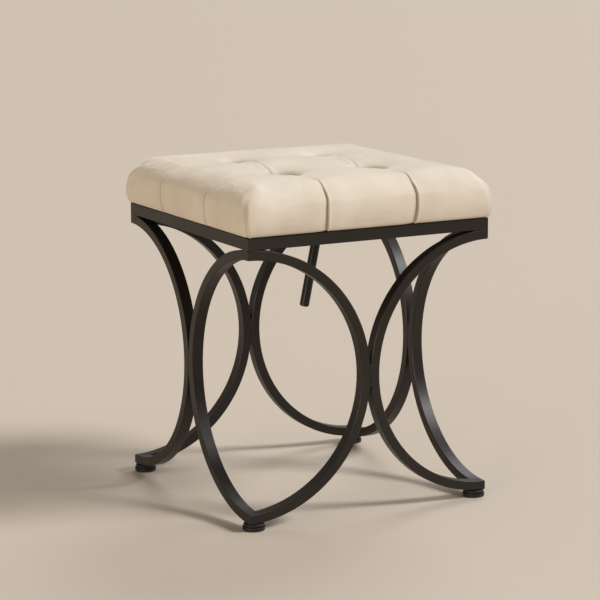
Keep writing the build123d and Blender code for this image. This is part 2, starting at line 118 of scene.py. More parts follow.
def step_up(low: float, high: float, x: Array) -> Array:
    """Rises smoothly from 0 at low to 1 at high."""
    t = np.clip((x - low) / (high - low), 0.0, 1.0)
    return t * t * (3.0 - 2.0 * t)


def bell(x: Array, width: float | Array) -> Array:
    """Falls off to both sides of 0 as a bell curve."""
    return np.exp(-((x / width) ** 2))


def ridge(x: Array, height: float, off: float, width: float) -> Array:
    """Gives a rounded ridge of some height and width, some distance off a line."""
    return height * bell(x - off, width)


def thread(x: Array, soft: float, width: float) -> Array:
    """Falls off to both sides of 0 as a thin line, rounded off over a soft middle."""
    return np.exp(-np.sqrt(x ** 2 + soft ** 2) / width)


def spline(t: Array) -> tuple[Array, ...]:
    """Gives the weights of the four values round a place that is t of the way between the middle two."""
    return (
        (1 - t) ** 3 / 6,
        (3 * t ** 3 - 6 * t * t + 4) / 6,
        (-3 * t ** 3 + 3 * t * t + 3 * t + 1) / 6,
        t ** 3 / 6,
    )


class NodeTree:
    """A node tree under construction."""

    tree: bpy.types.NodeTree

    def node(self, kind: str, feeds: Feeds | None = None, **values: object) -> bpy.types.Node:
        """Adds a node, with what goes into its inputs, by label or number, and its properties."""
        made = self.tree.nodes.new(kind)
        for key, value in values.items():
            setattr(made, key, value)
        for label, value in (feeds or {}).items():
            self.feed(made.inputs[label], value)
        return made

    def feed(self, target: Socket, value: object) -> None:
        """Links a socket into another, or sets a plain value there."""
        if isinstance(value, bpy.types.NodeSocket):
            self.tree.links.new(value, target)
        else:
            target.default_value = value

    def mix(self, kind: str, factor: Socket, first: object, second: object) -> Socket:
        """Mixes two colours, of kind RGBA, or two numbers, of kind VALUE."""
        made = self.node("ShaderNodeMix", {"Factor": factor}, data_type="RGBA" if kind == "RGBA" else "FLOAT")
        ends = [socket for socket in made.inputs if socket.type == kind][-2:]
        for end, value in zip(ends, (first, second)):
            self.feed(end, value)
        return next(socket for socket in made.outputs if socket.type == kind)

    def face_socket(self, label: str, kind: str, way: str = "INPUT") -> bpy.types.NodeTreeInterfaceSocket:
        """Adds a named socket to the outside of the tree."""
        return self.tree.interface.new_socket(name=label, in_out=way, socket_type=f"NodeSocket{kind}")


class RepeatTree(NodeTree):
    """A Geometry Nodes tree that repeats a shape and ends in plain faces of one finish."""

    def __init__(self, name: str, **sizes: float | int) -> None:
        """Makes the tree with a named input for each size."""
        self.tree = bpy.data.node_groups.new(name, "GeometryNodeTree")
        self.values: dict[str, float | int] = {}
        self.face_socket("Geometry", "Geometry")
        for label, value in sizes.items():
            made = self.face_socket(label, "Int" if isinstance(value, int) else "Float")
            self.values[made.identifier] = value
        self.finish_socket = self.face_socket("Finish", "Material").identifier
        self.face_socket("Geometry", "Geometry", "OUTPUT")
        self.given = self.node("NodeGroupInput").outputs

    def reckon(self, operation: str, first: object, second: object) -> Socket:
        """Works out one number from two."""
        return self.node("ShaderNodeMath", {0: first, 1: second}, operation=operation).outputs["Value"]

    def vector(self, **parts: object) -> Socket:
        """Joins X, Y and Z, of which those not given are 0."""
        return self.node("ShaderNodeCombineXYZ", parts).outputs["Vector"]

    def row(self, count: Socket, **places: object) -> Socket:
        """Gives evenly spaced points, with their start and offset by label."""
        feeds = {"Count": count} | {label.replace("_", " "): value for label, value in places.items()}
        return self.node("GeometryNodeMeshLine", feeds, mode="OFFSET").outputs["Mesh"]

    def placed(self, points: Socket, shape: Socket, turn: Socket) -> Socket:
        """Puts a turned shape on each point."""
        feeds = {"Points": points, "Instance": shape, "Rotation": turn}
        return self.node("GeometryNodeInstanceOnPoints", feeds).outputs["Instances"]

    def turned(self, shape: Socket, count: Socket) -> Socket:
        """Repeats a shape at even turns about the stool's middle."""
        index = self.node("GeometryNodeInputIndex").outputs["Index"]
        angle = self.reckon("MULTIPLY", index, self.reckon("DIVIDE", 2 * math.pi, count))
        return self.placed(self.row(count, Offset=(0.0, 0.0, 0.0)), shape, self.vector(Z=angle))

    def convert(self, piece: Piece, instances: Socket, finish: "Finish") -> None:
        """Ends the tree, runs it on a piece and keeps the result as a plain mesh.

        Args:
            piece: Object that the tree works on.
            instances: What the tree has placed.
            finish: Finish of the faces.
        """
        real = self.node("GeometryNodeRealizeInstances", {"Geometry": instances}).outputs["Geometry"]
        painted = self.node("GeometryNodeSetMaterial", {"Geometry": real, "Material": self.given["Finish"]})
        self.node("NodeGroupOutput", {"Geometry": painted.outputs["Geometry"]})
        modifier = piece.modifiers.new("repeat", "NODES")
        modifier.node_group = self.tree
        for identifier, value in self.values.items():
            modifier[identifier] = value
        modifier[self.finish_socket] = finish.material()
        graph = bpy.context.evaluated_depsgraph_get()
        mesh = bpy.data.meshes.new_from_object(piece.evaluated_get(graph), depsgraph=graph)
        piece.modifiers.remove(modifier)
        piece.data = mesh


class EffectGroup(NodeTree):
    """A shader node group that more than one finish uses, built once."""

    CLOUD_SPAN = (0.32, 0.68)
    GRAIN_DETAIL = 2.0

    def __init__(self, name: str, inputs: dict[str, str], outputs: dict[str, str]) -> None:
        """Makes a group with coordinates and the sockets named, each with its kind."""
        self.tree = bpy.data.node_groups.new(name, "ShaderNodeTree")
        for label, kind in ({"Vector": "Vector"} | inputs).items():
            self.face_socket(label, kind)
        for label, kind in outputs.items():
            self.face_socket(label, kind, "OUTPUT")
        self.given = self.node("NodeGroupInput").outputs

    def noise(self, scale: str, detail: object) -> Socket:
        """Adds a noise over the group's coordinates."""
        feeds = {"Vector": self.given["Vector"], "Scale": self.given[scale], "Detail": detail}
        return self.node("ShaderNodeTexNoise", feeds).outputs["Fac"]

    @classmethod
    @cache
    def cloud(cls) -> bpy.types.NodeTree:
        """Gives soft patches between two colours, with a roughness that follows them."""
        inputs = {"Scale": "Float", "Detail": "Float", "Dark": "Color", "Light": "Color"}
        inputs |= {"Rough Low": "Float", "Rough High": "Float"}
        group = cls("cloud", inputs, {"Color": "Color", "Roughness": "Float"})
        given = group.given
        low, high = cls.CLOUD_SPAN
        noise = group.noise("Scale", given["Detail"])
        spread = group.node("ShaderNodeMapRange", {"Value": noise, "From Min": low, "From Max": high})
        share = spread.outputs["Result"]
        group.node("NodeGroupOutput", {
            "Color": group.mix("RGBA", share, given["Dark"], given["Light"]),
            "Roughness": group.mix("VALUE", share, given["Rough Low"], given["Rough High"]),
        })
        return group.tree

    @classmethod
    @cache
    def grain(cls) -> bpy.types.NodeTree:
        """Gives the height of a fine grain over a broader ripple."""
        inputs = {"Fine Scale": "Float", "Broad Scale": "Float", "Broad Share": "Float"}
        group = cls("grain", inputs, {"Height": "Float"})
        fine, broad = (group.noise(scale, cls.GRAIN_DETAIL) for scale in ("Fine Scale", "Broad Scale"))
        group.node("NodeGroupOutput", {"Height": group.mix("VALUE", group.given["Broad Share"], fine, broad)})
        return group.tree


class Shader(NodeTree):
    """A node material under construction, around its Principled BSDF."""

    def __init__(self, name: str) -> None:
        """Makes the material with its shader and Object coordinates."""
        self.material = bpy.data.materials.new(name)
        self.material.use_nodes = True
        self.tree = self.material.node_tree
        self.bsdf = self.tree.nodes["Principled BSDF"]
        self.place = self.node("ShaderNodeTexCoord").outputs["Object"]

    def group(self, tree: bpy.types.NodeTree, place: Socket, **values: object) -> dict[str, Socket]:
        """Places a shared effect, with the coordinates and values that it reads, and gives its outputs."""
        made = self.node("ShaderNodeGroup", node_tree=tree)
        for key, value in ({"Vector": place} | values).items():
            self.feed(made.inputs[key.replace("_", " ")], value)
        return {socket.name: socket for socket in made.outputs}

    def set(self, **values: object) -> None:
        """Feeds values or sockets to the shader's own inputs."""
        for key, value in values.items():
            self.feed(self.bsdf.inputs[key.replace("_", " ")], value)

    def stretched(self, scale: Sequence[float]) -> Socket:
        """Gives Object coordinates scaled along each axis."""
        return self.node("ShaderNodeMapping", {"Scale": scale, "Vector": self.place}).outputs["Vector"]

    def bump(self, height: Socket, distance: float) -> None:
        """Feeds a height through a Bump node to the shader's normal."""
        feeds = {"Height": height, "Distance": distance, "Strength": 1.0}
        self.set(Normal=self.node("ShaderNodeBump", feeds).outputs["Normal"])


def opaque(colour: Colour) -> tuple[float, float, float, float]:
    """Adds full alpha to a colour."""
    return (*colour, 1.0)


@dataclass(frozen=True)
class Finish:
    """A plain finish: two close colours in patches, a roughness span and a fine grain."""

    name: str
    slot: Slot
    dark: Colour
    light: Colour
    rough_low: float
    rough_high: float
    patch_scale: float
    fine_scale: float
    broad_scale: float
    broad_share: float
    relief: float
    patch_detail: float = 4.0
    metallic: float = 0.0
    specular: float = 0.5
    sheen: float = 0.0
    stretch: Triple = (1.0, 1.0, 1.0)

    def start(self) -> tuple[Shader, dict[str, Socket]]:
        """Starts the material with its patches and its grain; gives it and the patches' outputs."""
        shader = Shader(self.name)
        place = shader.stretched(self.stretch)
        patches = shader.group(
            EffectGroup.cloud(),
            place,
            Scale=self.patch_scale,
            Detail=self.patch_detail,
            Dark=opaque(self.dark),
            Light=opaque(self.light),
            Rough_Low=self.rough_low,
            Rough_High=self.rough_high,
        )
        grain = shader.group(
            EffectGroup.grain(),
            place,
            Fine_Scale=self.fine_scale,
            Broad_Scale=self.broad_scale,
            Broad_Share=self.broad_share,
        )
        shader.set(
            Base_Color=patches["Color"],
            Roughness=patches["Roughness"],
            Metallic=self.metallic,
            Specular_IOR_Level=self.specular,
            Sheen_Weight=self.sheen,
        )
        shader.bump(grain["Height"], self.relief)
        return shader, patches

    @cache
    def material(self) -> bpy.types.Material:
        """Builds the finish, once."""
        return self.start()[0].material


@dataclass(frozen=True)
class Velvet(Finish):
    """Short-pile velvet with shade painted into its colour: a mesh attribute mixes it towards dark brown in
    folds, tufts and corners.
    """

    # painted shade: the dark brown that the velvet's colour is mixed towards where shade falls in folds,
    # tufts and corners
    painted_shade_colour: Colour = (0.23, 0.165, 0.1)
    painted_shade_attribute: str = "fold"
    sheen_roughness: float = 0.38
    sheen_tint: Colour = (0.98, 0.93, 0.84)

    @cache
    def material(self) -> bpy.types.Material:
        """Builds the velvet, once."""
        shader, patches = self.start()
        # the attribute gives the share of painted shade, which mixes the patches' colour towards the painted
        # shade colour
        fold = shader.node("ShaderNodeAttribute", attribute_name=self.painted_shade_attribute).outputs["Fac"]
        shader.set(
            Base_Color=shader.mix("RGBA", fold, patches["Color"], opaque(self.painted_shade_colour)),
            Sheen_Roughness=self.sheen_roughness,
            Sheen_Tint=opaque(self.sheen_tint),
        )
        return shader.material


POWDER_COAT = Finish(
    "powder_coat", Slot.FRAME_STEEL, (0.0145, 0.0113, 0.0088), (0.02, 0.0158, 0.0126), 0.34, 0.43,
    9.0, 900.0, 240.0, 0.45, 0.0001, specular=0.3,
)
ZINC_PLATE = Finish(
    "zinc_plate", Slot.ZINC_STEEL, (0.46, 0.46, 0.44), (0.62, 0.62, 0.6), 0.26, 0.4,
    60.0, 1600.0, 300.0, 0.3, 0.00004, metallic=1.0,
)
MOULDED_PLASTIC = Finish(
    "moulded_plastic", Slot.FOOT_PLASTIC, (0.009, 0.009, 0.0092), (0.014, 0.014, 0.0143), 0.42, 0.56,
    40.0, 1500.0, 400.0, 0.25, 0.00008, specular=0.35,
)
PLYWOOD = Finish(
    "plywood", Slot.PLYWOOD, (0.42, 0.27, 0.14), (0.6, 0.43, 0.26), 0.6, 0.75,
    14.0, 700.0, 60.0, 0.4, 0.0002, stretch=(1.0, 9.0, 9.0),
)
DUST_CLOTH = Finish(
    "dust_cloth", Slot.DUST_CLOTH, (0.012, 0.012, 0.0125), (0.022, 0.022, 0.0225), 0.85, 0.95,
    120.0, 900.0, 260.0, 0.5, 0.0003, sheen=0.15,
)
TWINE = Finish(
    "twine", Slot.CORD, (0.6, 0.55, 0.46), (0.74, 0.69, 0.6), 0.7, 0.85,
    200.0, 1400.0, 500.0, 0.5, 0.0002, stretch=(1.0, 1.0, 0.4),
)
CREAM_VELVET = Velvet(
    "cream_velvet", Slot.VELVET, (0.66, 0.592, 0.495), (0.73, 0.668, 0.572), 0.78, 0.92,
    15.0, 1300.0, 160.0, 0.15, 0.00012, patch_detail=5.0, specular=0.22, sheen=0.42,
)


def paint_nodes(names: Iterable[str], finish: Finish) -> None:
    """Puts a finish in the material slots of CAD nodes that show."""
    material = finish.material()
    for name in names:
        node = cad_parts[name]
        if not node.material_slots:
            node.data.materials.append(material)
        for place in node.material_slots:
            place.material = material


def paint_piece(piece: Piece, finish: Finish) -> None:
    """Gives a scene piece its finish."""
    piece.data.materials.clear()
    piece.data.materials.append(finish.material())


@dataclass
class SteelFrame:
    """Four rails, eight half-circle bars, their welds and corner plates, all powder coated."""

    halves: tuple[str, ...] = (
        "front_left", "front_right", "right_front", "right_back",
        "back_right", "back_left", "left_back", "left_front",
    )
    tube_bevel: float = 0.0008
    weld_run: float = 0.023
    weld_flush: float = 0.015
    weld_inset: float = 0.0001
    weld_hollow: float = 0.004
    weld_depth: float = 0.003
    weld_steps: int = 12

    def dress(self) -> None:
        """Paints the steel."""
        paint_nodes([f"rail_{side}" for side in SIDES], POWDER_COAT)
        paint_nodes([f"arc_{half}" for half in self.halves], POWDER_COAT)
        paint_nodes([f"corner_plate_{corner}" for corner in CORNERS], POWDER_COAT)
        paint_nodes(["face_welds"], POWDER_COAT)
        LOG.info("steel frame: %d rails, %d half-circle bars", len(SIDES), len(self.halves))

    def weld_fills(self) -> None:
        """Fills the grooves between rails and bars beside the corners, flush there and hollow further on."""
        rail_low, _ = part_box("rail_front")
        bar_low, bar_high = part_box("arc_front_left")
        radius = (bar_high.z - bar_low.z) / 2
        middle = (bar_high.z + bar_low.z) / 2
        away = np.linspace(self.weld_inset, self.weld_run, self.weld_steps)
        run_out = np.clip((away - self.weld_flush) / (self.weld_run - self.weld_flush), 0, 1)
        low = middle + np.sqrt(radius ** 2 - away ** 2) - self.tube_bevel
        high = np.full_like(away, rail_low.z + self.tube_bevel)
        front = rail_low.y + (self.weld_inset + self.weld_hollow * run_out ** 2)
        behind = front + self.weld_depth
        x = rail_low.x + away
        edges = ((front, low), (front, high), (behind, high), (behind, low))
        left = np.stack([np.stack([x, y, z], 1) for y, z in edges], 1).reshape(-1, 3)
        right = left * np.array([-1.0, 1.0, 1.0])
        sections = np.arange(len(left)).reshape(self.weld_steps, len(edges))
        faces = [face for pair in zip(sections, sections[1:]) for face in ring(*pair)]
        faces += [tuple(sections[0]), tuple(sections[-1][::-1])]
        mirrored = [tuple(len(left) + i for i in reversed(face)) for face in faces]
        piece = mesh_piece("weld_fills", np.concatenate([left, right]), faces + mirrored, smooth=False)
        tree = RepeatTree("weld_fill_sides", Sides=len(SIDES))
        tree.convert(piece, tree.turned(tree.given["Geometry"], tree.given["Sides"]), POWDER_COAT)
        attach(piece, BODY)
        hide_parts("corner_welds")
        LOG.info("corner weld fills: %d faces", len(piece.data.polygons))


class HangingRod:
    """Slanted rod under the seat with its flange."""

    def dress(self) -> None:
        """Paints the rod and plates its screws."""
        paint_nodes(["under_rod", "rod_flange"], POWDER_COAT)
        paint_nodes(["flange_screws"], ZINC_PLATE)
        LOG.info("hanging rod and flange")


class LevellingFeet:
    """Four screw-in levelling feet: moulded pad, threaded stem, nut in the frame."""

    def dress(self) -> None:
        """Gives pads their plastic and stems and nuts their plating."""
        paint_nodes([f"foot_pad_{corner}" for corner in CORNERS], MOULDED_PLASTIC)
        paint_nodes([f"foot_stem_{corner}" for corner in CORNERS], ZINC_PLATE)
        paint_nodes(["foot_nuts"], ZINC_PLATE)
        LOG.info("levelling feet: %d", len(CORNERS))


@dataclass
class CushionGrid:
    """Grid over the cushion's top and sides: places, faces, and the loops of corners from the edge down."""

    a: Array
    b: Array
    v: Array
    faces: list[Face]
    loops: list[Array]


@dataclass
class CoverSwell:
    """How the cover swells over its filling, from a cloth simulation of a coarse copy."""

    cells: int = 64
    side_rows: int = 14
    frames: int = 20
    cap: float = 0.003
    held_below: float = 0.9
    held_round_tuft: float = 0.004
    held_cells: float = 1.1
    held_group: str = "held"
    CLOTH = {
        "quality": 6,
        "mass": 0.02,
        "tension_stiffness": 12.0,
        "compression_stiffness": 12.0,
        "shear_stiffness": 6.0,
        "bending_stiffness": 0.3,
        "use_pressure": True,
        "uniform_pressure_force": 4.0,
    }

    def run(self, cushion: "TuftedCushion") -> None:
        """Simulates the coarse cover and keeps how far each of its corners moves.

        Args:
            cushion: The cushion, which gives the cover's form at rest.
        """
        line = np.linspace(-cushion.half, cushion.half, self.cells + 1)
        grid = cushion.grid(line, self.side_rows)
        start = cushion.form(grid.a, grid.b, grid.v)
        start[:, 2] -= cushion.pulled(grid.a, grid.b, grid.v)
        points, faces = cushion.closed(start, grid)
        piece = mesh_piece("cover_at_rest", points, faces)
        group = piece.vertex_groups.new(name=self.held_group)
        group.add(np.flatnonzero(self.held(cushion, grid)).tolist(), 1.0, "REPLACE")
        group.add(list(range(len(start), len(points))), 1.0, "REPLACE")
        cloth = piece.modifiers.new("swell", "CLOTH")
        for key, value in self.CLOTH.items():
            setattr(cloth.settings, key, value)
        cloth.settings.vertex_group_mass = self.held_group
        cloth.settings.effector_weights.gravity = 0.0
        cloth.point_cache.frame_start = 1
        cloth.point_cache.frame_end = self.frames
        scene = bpy.context.scene
        for number in range(1, self.frames + 1):
            scene.frame_set(number)
        swollen = piece.evaluated_get(bpy.context.evaluated_depsgraph_get())
        after = np.empty(len(points) * 3)
        swollen.data.vertices.foreach_get("co", after)
        moved = after.reshape(-1, 3)[: len(start)] - start
        far = np.linalg.norm(moved, axis=1, keepdims=True)
        LOG.info("cover swells by up to %.1f mm, capped at %.1f mm", 1000 * far.max(), 1000 * self.cap)
        moved *= self.cap * np.tanh(far / self.cap) / np.maximum(far, 1e-9)
        self.half = cushion.half
        side = self.cells + 1
        self.top = moved[: side * side].reshape(side, side, 3)
        self.sides = np.stack([moved[loop] for loop in grid.loops])
        bpy.data.objects.remove(piece)
        scene.frame_set(1)

    def held(self, cushion: "TuftedCushion", grid: CushionGrid) -> Array:
        """Marks the corners that tufts, pleats, the creases between tufts and the board hold."""
        off_a, off_b = (np.abs(np.abs(x) - cushion.tuft_at) for x in (grid.a, grid.b))
        near = self.held_cells * cushion.half / self.cells
        down_side = grid.v > 0
        on_line = (off_a < near) & ((grid.b < cushion.tuft_at) | down_side)
        on_line |= (off_b < near) & down_side
        in_tuft = (np.hypot(off_a, off_b) < cushion.tuft_floor + self.held_round_tuft) & ~down_side
        return (grid.v > self.held_below) | in_tuft | on_line

    def at(self, a: Array, b: Array, v: Array) -> Array:
        """Reads the swelling at places of a finer grid.

        Args:
            a: Plan places along X.
            b: Plan places along Y.
            v: Shares of the way down the sides.

        Returns:
            Array of movements in metres.
        """
        across, along = (np.clip((x + self.half) / (2 * self.half), 0.0, 1.0) * self.cells for x in (a, b))
        on_top = self._blend(self.top, across, along, wrap=False)
        rim = 1e-9
        place = np.select(
            [b <= -self.half + rim, a >= self.half - rim, b >= self.half - rim],
            [across, self.cells + along, 3 * self.cells - across],
            4 * self.cells - along,
        )
        on_side = self._blend(self.sides, v * self.side_rows, place % (4 * self.cells), wrap=True)
        return np.where((v > 0)[:, None], on_side, on_top)

    @staticmethod
    def _blend(table: Array, i: Array, j: Array, wrap: bool) -> Array:
        """Reads a table of vectors between its rows and columns, with a smooth spline."""
        rows, columns = table.shape[:2]
        before, after = table[:, -1:], table[:, :2]
        if not wrap:
            before, after = 2 * table[:, :1] - table[:, 1:2], 2 * table[:, -1:] - table[:, -2:-1]
        table = np.concatenate([before, table, after], axis=1)
        table = np.concatenate([2 * table[:1] - table[1:2], table, 2 * table[-1:] - table[-2:-1]])
        i0 = np.clip(np.floor(i).astype(int), 0, rows - 2)
        j0 = np.clip(np.floor(j).astype(int), 0, columns - (1 if wrap else 2))
        total = np.zeros((len(i), 3))
        for row, down in enumerate(spline(i - i0)):
            for column, across in enumerate(spline(j - j0)):
                total += (down * across)[:, None] * table[i0 + row, j0 + column]
        return total


@dataclass(frozen=True)
class Pleat:
    """A pleat that is sewn shut and shows as a thin crease.

    A Triple gives a ridge's height or shade, its distance off the pleat's line and its width. A Run gives
    places along the pleat, 0 at the tuft, 1 at the cushion's edge and 2 at the base, and a size at each. The
    one named between starts halfway between two tufts and ends at a tuft, and far_share gives how much of the
    pleat shows at the back, or at the right.
    """

    valley: Run = ((0, 0.5, 1.0, 2.0), (0.0024, 0.0012, 0.0008, 0.0003))
    valley_share: Run = ((0, 0.5, 1.0), (0.7, 0.5, 1.0))
    valley_width: float = 0.012
    crease: Run = ((0, 0.5, 1.0, 1.5, 2.0), (0.001, 0.0002, 0.0003, 0.0024, 0.001))
    crease_line: Span = (0.0003, 0.0013)
    # share of painted shade along the crease line, from dark_from on
    crease_dark: float = 0.6
    dark_from: Span = (0.9, 1.4)
    lip: Triple = (0.0007, 0.003, 0.0024)
    lip_from: Span = (0.8, 1.4)
    far_share: Run = ((0, 2.0), (1.0, 1.0))
    between: Run = ((0, 1.0), (0.0012, 0.003))
    between_width: float = 0.013
    thin_depth: float = 0.001
    thin_line: Span = (0.0004, 0.0015)
    # share of painted shade along the thin crease between tufts
    thin_dark: float = 0.25

    def side(self, off: Array, along: Array, peak: float) -> tuple[Array, Array]:
        """Gives the relief from a tuft over the edge to the base.

        Args:
            off: Signed distance from the pleat's line; the raised lip is on the positive side.
            along: 0 at the tuft, 1 at the cushion's edge, 2 at the base.
            peak: Where on the side an open pleat nearly has its full width; a closed pleat does not use it.

        Returns:
            Outward relief in metres, and the share of shade painted into the fold.
        """
        valley = eased(along, *self.valley) * bell(off, self.valley_width) * eased(along, *self.valley_share)
        line = thread(off, *self.crease_line)
        lip = ridge(off, *self.lip) * step_up(*self.lip_from, along)
        return (
            lip - valley - eased(along, *self.crease) * line,
            self.crease_dark * line * step_up(*self.dark_from, along),
        )

    def soft(self, off: Array, share: Array) -> Array:
        """Gives the shallow valley between two tufts, by the share of the way from halfway to a tuft."""
        return eased(share, *self.between) * bell(off, self.between_width)

    def inner(self, off: Array, down: Array) -> tuple[Array, Array]:
        """Gives relief and painted shade of the crease between two tufts, where down runs from -1 to 1."""
        share = np.clip(np.abs(down), 0.0, 1.0)
        thin = thread(off, *self.thin_line)
        return -self.soft(off, share) - self.thin_depth * thin * share, self.thin_dark * thin * share


@dataclass(frozen=True)
class OpenPleat(Pleat):
    """A pleat left open, which rolls into a deep fold with a raised lip; its inner crease bows and puffs."""

    far_share: Run = ((0, 0.9, 1.2), (0.35, 0.35, 1.0))
    roll_places: tuple[float, ...] = (0, 0.7, 1.15)
    roll: tuple[float, ...] = (0.0009, 0.0012, 0.0022, 0.0048, 0.006)
    depth: Run = ((0, 0.4, 0.85, 1.2, 1.85, 2.0), (0.0012, 0.0006, 0.0012, 0.002, 0.0018, 0.001))
    wall: float = 0.0007
    # painted shade in the rolled groove, by place along the pleat
    shade: Run = ((0, 0.5, 0.9, 1.2, 2.0), (0.0, 0.1, 0.32, 0.62, 0.62))
    lip: Triple = (0.0012, 0.0012, 0.0016)
    lip_from: Span = (0.6, 1.2)
    lip_fade: Span = (1.85, 2.0)
    lip_fade_share: float = 0.6
    dip: Triple = (0.0008, 0.0, 0.011)
    bow: float = 0.011
    bow_from: Span = (-0.8, 0.75)
    starts: Span = (-0.98, -0.7)
    groove_depth: float = 0.0036
    groove_widths: Span = (0.0035, 0.0011)
    # painted shade along the inner crease's groove
    groove_dark: Triple = (0.85, 0.0, 0.0012)
    puff: Triple = (0.0029, -0.008, 0.0075)

    def side(self, off: Array, along: Array, peak: float) -> tuple[Array, Array]:
        """Gives the relief from a tuft over the edge to the base, as for a closed pleat."""
        valley = eased(along, *self.valley) * bell(off, self.valley_width)
        roll = eased(along, (*self.roll_places, peak, 2.0), self.roll)
        groove = np.where(off <= 0, bell(off, roll), 1.0 - step_up(0.0, self.wall, off))
        shown = step_up(*self.lip_from, along) * (1.0 - self.lip_fade_share * step_up(*self.lip_fade, along))
        lip = shown * ridge(off, *self.lip) * (off > 0)
        dip = shown * ridge(off, *self.dip) * (off < 0)
        return lip - valley - dip - eased(along, *self.depth) * groove, groove * eased(along, *self.shade)

    def inner(self, off: Array, down: Array) -> tuple[Array, Array]:
        """Gives relief and painted shade of the crease between two tufts, as for a closed pleat."""
        bowed = off + self.bow * step_up(*self.bow_from, -down)
        there = step_up(*self.starts, down)
        broad, narrow = self.groove_widths
        groove = np.where(bowed > 0, bell(bowed, broad), bell(bowed, narrow))
        puffed = ridge(bowed, *self.puff) - self.groove_depth * groove
        soft = self.soft(off, np.clip(np.abs(down), 0.0, 1.0))
        return there * puffed - soft, there * ridge(bowed, *self.groove_dark)


@dataclass(frozen=True)
class CornerFold:
    """The short mitred fold that climbs each corner of the cushion from its base."""

    reach: float = 0.03
    climbs: Span = (0.3, 0.62)
    line_off: float = 0.001
    line: Span = (0.0004, 0.0018)
    line_depth: float = 0.0019
    # painted shade along the corner's fold line
    line_dark: float = 0.4
    lip: Triple = (0.0008, 0.0035, 0.004)
    drawn_from: Span = (0.08, 0.24)
    drawn_to: Span = (0.4, 0.8)
    # a broad band of painted shade beside the corner's line, part way down the side
    drawn: Triple = (0.34, -0.004, 0.0055)

    def relief(self, half: float, a: Array, b: Array, v: Array) -> tuple[Array, Array]:
        """Gives the outward relief in metres and the share of shade painted into the fold."""
        gap_a, gap_b = half - np.abs(a), half - np.abs(b)
        turn = np.where(np.sign(a) * np.sign(b) > 0, 1.0, -1.0)
        off = (gap_a - gap_b) * turn
        near = (np.minimum(gap_a, gap_b) < 1e-6) & (v > 0) & (np.maximum(gap_a, gap_b) < self.reach)
        tall = step_up(*self.climbs, v)
        thin = thread(off + self.line_off, *self.line)
        drawn = step_up(*self.drawn_from, v) * (1.0 - step_up(*self.drawn_to, v)) * ridge(off, *self.drawn)
        shade = np.maximum(self.line_dark * tall * thin, drawn)
        rise = tall * (ridge(off, *self.lip) - self.line_depth * thin)
        return np.where(near, rise, 0.0), np.where(near, shade, 0.0)


